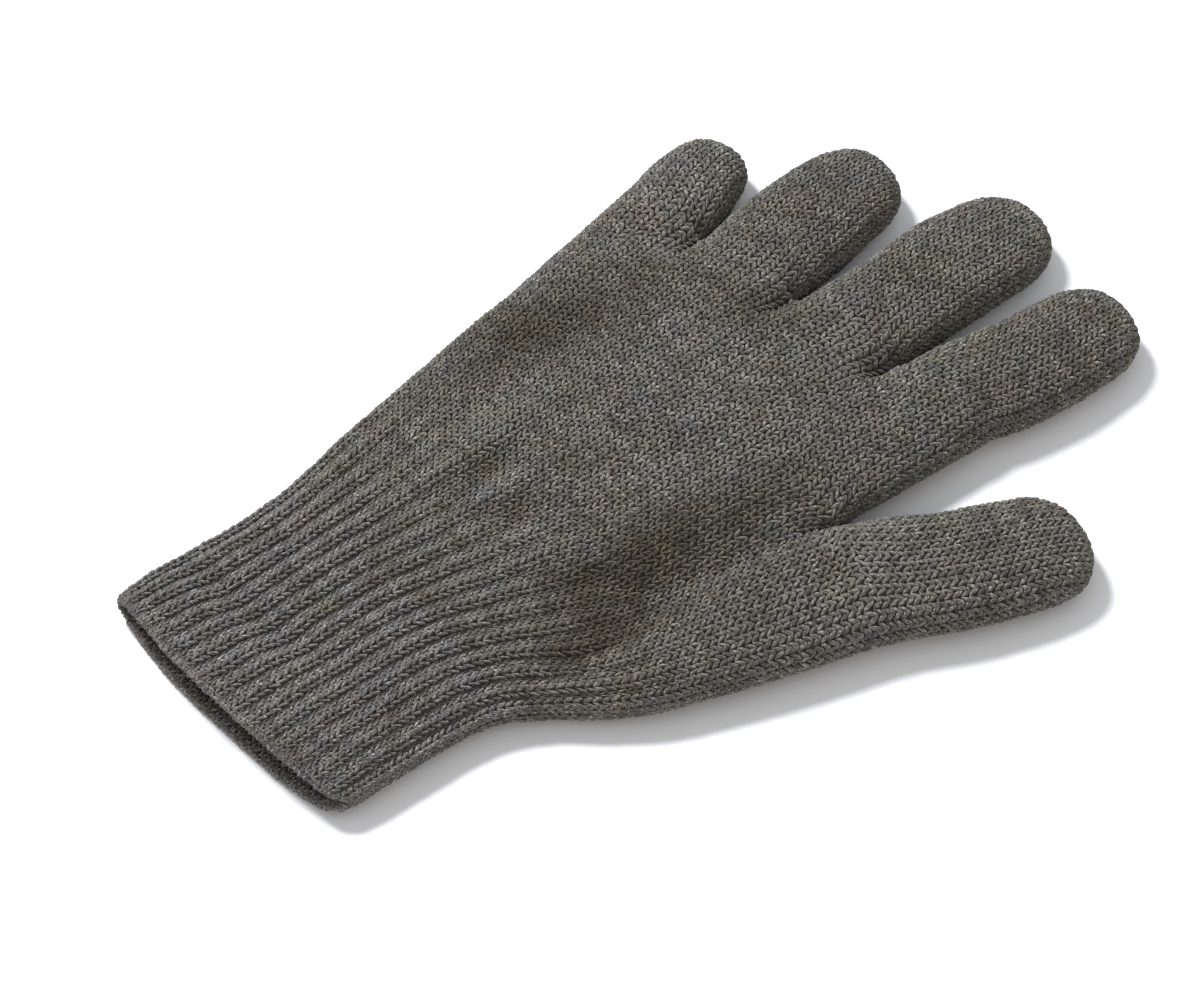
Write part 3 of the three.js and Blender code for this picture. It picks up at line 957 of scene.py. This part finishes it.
def finish_surface(tree, surface, colour, height, strength):
    """Gives a surface its colour and its fine relief."""
    tree.links.new(colour, surface.inputs["Base Color"])
    inputs = {"Strength": strength, "Distance": RELIEF_DEPTH, "Height": height}
    relief = output_of(tree, "ShaderNodeBump", None, inputs)
    tree.links.new(relief, surface.inputs["Normal"])


def yarn_material(name, groups, darker, bluer):
    """Mottled yarn, darker than the colours in its group by a share, bluer by a factor, with
    painted shade in places.
    """
    material, tree, surface = new_material(name, roughness=0.95, sheen=0.12)
    place = output_of(tree, "ShaderNodeTexCoord", output="Object")
    uv = output_of(tree, "ShaderNodeUVMap", {"uv_map": "UVMap"})
    shade, painted_shade_share = (
        output_of(tree, "ShaderNodeAttribute", {"attribute_name": label}, output="Fac")
        for label in ("shade", "painted_shade_share")
    )
    # Shade also moves the pattern of the fibres, so no two stitches are alike
    apart = vector_of(tree, Z=times(tree, shade, FIBRE_APART))
    along = calc(tree, "MULTIPLY_ADD", uv, FIBRE_STRETCH, apart, kind="VectorMath")
    inputs = {"Place": place, "Along yarn": along}
    colour = output_of(tree, "ShaderNodeGroup", {"node_tree": groups["colour"]}, inputs)
    bright = spread(tree, shade, 0.0, 1.0, *(limit * (1 - darker) for limit in SHADES))
    grey = vector_of(tree, X=bright, Y=bright, Z=times(tree, bright, bluer))
    shaded = blend(tree, 1.0, colour, grey, "MULTIPLY")
    # Painted shade: the yarn is darkened towards a brown by the share stored on each stitch
    painted_shade = blend(tree, 1.0, shaded, PAINTED_SHADE_COLOUR, "MULTIPLY")
    twist = output_of(tree, "ShaderNodeGroup", {"node_tree": groups["twist"]}, {"Unwrapped": uv})
    finish_surface(tree, surface, blend(tree, painted_shade_share, shaded, painted_shade), twist, strength=0.9)
    return material


def backing_material():
    """The back of the fabric, seen between the stitches and inside the cuff, coloured darker as
    painted shade.
    """
    material, tree, surface = new_material("backing_with_painted_shade", roughness=1.0, sheen=0.05)
    place = output_of(tree, "ShaderNodeTexCoord", output="Object")
    fibres = noise(tree, place, BACKING_SCALE, roughness=0.6)
    colour = blend(tree, spread(tree, fibres, *BACKING_SHARE), *BACKING_COLOURS)
    finish_surface(tree, surface, colour, fibres, strength=0.8)
    return material


# Stitches
# Shape of one leg of a stitch: across and along as shares of its cell, depths in millimetres
LEG = {
    "Half width": 0.22,
    "Half length": 0.74,
    "Half depth": 0.54,
    "Middle": 0.27,
    "Lean": 0.23,
    "Taper": 0.14,
    "Bow": 0.22,
    "Tilt": 0.1,
}

# How uneven the stitches are: the bounds of their size, what it is multiplied by, the spread of
# their turn and of their place; and the greatest share of painted shade they get
CELL_SIZES = (0.5, 4.0)
UNEVEN_SIZES = (0.92, 1.08)
UNEVEN_TURN = 0.07
UNEVEN_PLACE = 0.06
DARKEST_PAINTED_SHADE = 0.8


def knit_stitches_tree():
    """On each point two legs of yarn that meet in a V, turned and stretched to fill their cell."""
    inputs = {"Geometry": ("NodeSocketGeometry", None)}
    inputs.update({name: ("NodeSocketFloat", value) for name, value in LEG.items()})
    inputs["Yarn"] = ("NodeSocketMaterial", None)
    outputs = {"Geometry": "NodeSocketGeometry"}
    tree, given, result = new_group("knit_stitches", "GeometryNodeTree", inputs, outputs)

    def changed(kind, geometry, **values):
        """The geometry after one more node."""
        return output_of(tree, "GeometryNode" + kind, None, {"Geometry": geometry, **values})

    def store(geometry, name, kind, domain, value):
        settings = {"data_type": kind, "domain": domain}
        values = {"Geometry": geometry, "Name": name, "Value": value}
        return output_of(tree, "GeometryNodeStoreNamedAttribute", settings, values)

    def stored(name, kind="FLOAT_VECTOR"):
        settings = {"data_type": kind}
        read = add_node(tree, "GeometryNodeInputNamedAttribute", settings, {"Name": name})
        return next(item for item in read.outputs if item.enabled and item.name == "Attribute")

    sizes = {"Segments": 5, "Rings": 4, "Radius": 1.0}
    ball = add_node(tree, "GeometryNodeMeshUVSphere", None, sizes).outputs
    unwrapped = store(ball["Mesh"], "UVMap", "FLOAT2", "CORNER", ball["UV Map"])
    place = output_of(tree, "GeometryNodeInputPosition")
    x, y, z = add_node(tree, "ShaderNodeSeparateXYZ", None, {0: place}).outputs
    taper = calc(tree, "MULTIPLY_ADD", z, given["Taper"], 1.0)
    side = times(tree, times(tree, x, given["Half width"]), taper)
    middle = calc(tree, "MULTIPLY_ADD", z, given["Lean"], given["Middle"])
    across = calc(tree, "ADD", side, middle)
    along = times(tree, z, given["Half length"])
    thick = times(tree, times(tree, y, given["Half depth"]), taper)
    bend = calc(tree, "SUBTRACT", 1.0, times(tree, z, z))
    bow = times(tree, bend, given["Bow"])
    raised = calc(tree, "SUBTRACT", calc(tree, "MULTIPLY_ADD", z, given["Tilt"], bow), thick)
    moved = vector_of(tree, X=across, Y=along, Z=raised)
    climbing = store(unwrapped, "climb", "FLOAT", "POINT", along)
    leg = changed("SetPosition", climbing, Position=moved)
    mirrored = changed("Transform", leg, Scale=(-1.0, 1.0, 1.0))
    joined = tree.nodes.new("GeometryNodeJoinGeometry")
    for one in (output_of(tree, "GeometryNodeFlipFaces", None, {"Mesh": mirrored}), leg):
        tree.links.new(one, joined.inputs[0])

    settings = {"primary_axis": "X", "secondary_axis": "Z"}
    axes = {"Primary Axis": stored("across"), "Secondary Axis": stored("outward")}
    turn = output_of(tree, "FunctionNodeAxesToRotation", settings, axes)
    values = {"Points": given["Geometry"], "Instance": joined.outputs[0]}
    values |= {"Rotation": turn, "Scale": stored("cell")}
    geometry = output_of(tree, "GeometryNodeInstanceOnPoints", None, values)
    for name in ("across", "outward", "cell"):
        geometry = changed("RemoveAttribute", geometry, Name=name)
    geometry = changed("RealizeInstances", geometry)
    # Where a cell is askew, its stitch leans with it
    climb = {0: stored("slant"), "Scale": stored("climb", "FLOAT")}
    lean = output_of(tree, "ShaderNodeVectorMath", {"operation": "SCALE"}, climb)
    geometry = changed("SetPosition", geometry, Offset=lean)
    for name in ("slant", "climb"):
        geometry = changed("RemoveAttribute", geometry, Name=name)
    geometry = changed("SetShadeSmooth", geometry)
    geometry = changed("SetMaterial", geometry, Material=given["Yarn"])
    tree.links.new(geometry, result["Geometry"])
    return tree


def stitch_points(name, cells, rng):
    """A mesh with one point for each cell, which carries the cell's directions and size."""
    across, up, outward = cell_axes(cells)
    slant = unit(across) * (up * unit(across)).sum(axis=1, keepdims=True)
    straight = np.linalg.norm(up - slant, axis=1)
    size = np.stack([np.linalg.norm(across, axis=1), straight, np.ones(len(cells))], axis=1)
    size = np.clip(size, *CELL_SIZES) * rng.uniform(*UNEVEN_SIZES, size.shape)
    turned = unit(across) + unit(up) * rng.normal(0, UNEVEN_TURN, (len(cells), 1))
    centres = cells.mean(axis=1)
    x, y, z = centres.T
    places = centres - outward * YARN_DEPTH + rng.normal(0, UNEVEN_PLACE, centres.shape)
    mesh = bpy.data.meshes.new(name)
    mesh.from_pydata((places + SHIFT) * MM, [], [])
    vectors = {"across": turned, "outward": outward, "cell": size * MM, "slant": slant * MM}
    for label, values in vectors.items():
        attribute = mesh.attributes.new(label, "FLOAT_VECTOR", "POINT")
        attribute.data.foreach_set("vector", values.ravel())
    # Painted shade from the table of places, on the upper side alone, up to a greatest share
    painted_light = dent_depth(x, y, PAINTED_SHADE_AND_HIGHLIGHT_PLACES) * ease(FOLD_LOW, FOLD_HIGH, z)
    painted_shade_share = np.clip(painted_light, 0, DARKEST_PAINTED_SHADE)
    # Where the table is below 0 the random shade is raised: painted highlight
    shades = np.clip(rng.uniform(0, 1, len(cells)) - np.minimum(painted_light, 0), 0, 1)
    for label, values in (("shade", shades), ("painted_shade_share", painted_shade_share)):
        mesh.attributes.new(label, "FLOAT", "POINT").data.foreach_set("value", values)
    return mesh


def new_object(name, data):
    thing = bpy.data.objects.new(name, data)
    bpy.context.scene.collection.objects.link(thing)
    return thing


def stitched_piece(name, cells, tree, yarn, rng):
    """One piece of the glove, made of its separate stitches."""
    piece = new_object(name, stitch_points(name + "_points", cells, rng))
    maker = piece.modifiers.new("knit_stitches", "NODES")
    maker.node_group = tree
    for socket in tree.interface.items_tree:
        if socket.in_out == "INPUT" and socket.name in LEG:
            maker[socket.identifier] = LEG[socket.name]
        elif socket.name == "Yarn":
            maker[socket.identifier] = yarn
    points = piece.data
    evaluated = piece.evaluated_get(bpy.context.evaluated_depsgraph_get())
    mesh = bpy.data.meshes.new_from_object(evaluated)
    piece.modifiers.remove(maker)
    piece.data = mesh
    mesh.name = name
    bpy.data.meshes.remove(points)
    return piece


# Backing. Corners that agree to this many digits are one
CORNER_DIGITS = 4


def backing_pieces(parts, material):
    """The wall of fabric under the stitches: one closed piece for each part."""
    corners = np.concatenate(list(parts.values())).reshape(-1, 3)
    rounded = np.round(corners, CORNER_DIGITS)
    _, first, index = np.unique(rounded, axis=0, return_index=True, return_inverse=True)
    points, faces = corners[first], index.reshape(-1, 4)
    normals = np.zeros_like(points)
    low, right, high, left = (points[faces[:, corner]] for corner in range(4))
    flat = np.cross(high - low, left - right)
    for corner in range(4):
        np.add.at(normals, faces[:, corner], flat)
    normals = unit(normals)
    hem_end = RIM_Y + HEM_RADIUS + COURSE * HEM_INSIDE_ROWS
    x, y, _ = points.T
    row = row_through(x, np.minimum(y, 2 * hem_end))
    row = np.where(y < 2 * hem_end, row, KNUCKLE_Y)
    past_hem = ease(hem_end - COURSE, hem_end + COURSE, row)
    back = mix(BACKING_BACK_IN_HEM, BACKING_BACK, past_hem)[:, None]
    pieces, start = {}, 0
    for part, cells in parts.items():
        own = faces[start : start + len(cells)]
        start += len(cells)
        used, local = np.unique(own, return_inverse=True)
        local = local.reshape(-1, 4)
        count = len(used)
        polygons = [list(dict.fromkeys(face)) for face in local.tolist()]
        edges = {(face[place - 1], face[place]) for face in polygons for place in range(len(face))}
        rims = [edge for edge in edges if edge[::-1] not in edges]
        walls = [[high, low, low + count, high + count] for low, high in rims]
        inner = [[corner + count for corner in reversed(face)] for face in polygons]
        depths = [points[used] - normals[used] * depth for depth in (BACKING_FACE, back[used])]
        mesh = bpy.data.meshes.new(part + "_backing")
        mesh.from_pydata((np.concatenate(depths) + SHIFT) * MM, [], polygons + inner + walls)
        mesh.materials.append(material)
        mesh.polygons.foreach_set("use_smooth", [True] * len(mesh.polygons))
        pieces[part] = new_object(part + "_backing", mesh)
    return pieces


# Stage, in metres. Of each light the place, size, power and colour
LIGHTS = {
    "window_side": ((-1.25, -0.15, 1.6), 0.5, 50, (1.0, 1.0, 1.0)),
    "fill_side": ((1.3, -0.9, 1.2), 1.2, 5, (1.0, 0.8, 0.54)),
}
LIT_PLACE = (0, 0, 0)
SKY_COLOUR = (0.97, 0.982, 1.0, 1.0)
SKY_STRENGTH = 0.6
FLOOR_COLOUR = (0.88, 0.9, 0.94, 1.0)
FLOOR_HALF = 4.0
CAMERA_PLACE = (0.6721, -0.54685, 1.0352)
CAMERA_TARGET = (-0.013385, -0.013187, 0.0)
CAMERA_LENS = 171.26
CAMERA_SENSOR = 36


def aim(thing, target):
    """Turns a camera or light to look at a place."""
    x, y, z = np.array(target) - np.array(thing.location)
    thing.rotation_euler = (math.atan2(math.hypot(x, y), -z), 0, math.atan2(y, x) - math.pi / 2)


def make_stage():
    scene = bpy.context.scene
    scene.view_settings.view_transform = "Standard"
    world = bpy.data.worlds.new("studio")
    world.use_nodes = True
    background = world.node_tree.nodes["Background"]
    background.inputs["Color"].default_value = SKY_COLOUR
    background.inputs["Strength"].default_value = SKY_STRENGTH
    scene.world = world
    for name, (place, size, power, colour) in LIGHTS.items():
        data = bpy.data.lights.new(name, "AREA")
        data.shape = "DISK"
        data.size, data.energy, data.color = size, power, colour
        light = new_object(name, data)
        light.location = place
        aim(light, LIT_PLACE)

    sides = ((-1, -1), (1, -1), (1, 1), (-1, 1))
    mesh = bpy.data.meshes.new("floor")
    mesh.from_pydata([(x * FLOOR_HALF, y * FLOOR_HALF, 0) for x, y in sides], [], [(0, 1, 2, 3)])
    floor = new_object("floor", mesh)
    material, _, surface = new_material("pale_floor", roughness=0.9, sheen=0.0)
    surface.inputs["Base Color"].default_value = FLOOR_COLOUR
    mesh.materials.append(material)

    camera = new_object("camera", bpy.data.cameras.new("camera"))
    camera.data.sensor_width = CAMERA_SENSOR
    camera.data.lens = CAMERA_LENS
    camera.location = CAMERA_PLACE
    aim(camera, CAMERA_TARGET)
    scene.camera = camera


# The glove
knit = knit_glove()
groups = {"colour": mottled_grey_group(), "twist": twisted_yarn_group()}
hand_yarn = yarn_material("grey_knit_yarn", groups, darker=0.0, bluer=1.0)
cuff_yarn = yarn_material("ribbed_knit_yarn", groups, darker=-0.08, bluer=1.07)
stitches = knit_stitches_tree()
rng = np.random.default_rng(SEED)

pieces = []
for (part, name), cells in knit.stitches.items():
    yarn = cuff_yarn if part == "cuff" else hand_yarn
    pieces.append((part, stitched_piece(name, np.concatenate(cells), stitches, yarn, rng)))
backing_cells = {part: np.concatenate(cells) for part, cells in knit.backing.items()}
pieces += backing_pieces(backing_cells, backing_material()).items()
for part, piece in pieces:
    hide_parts(part)
    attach(piece, "root")

make_stage()
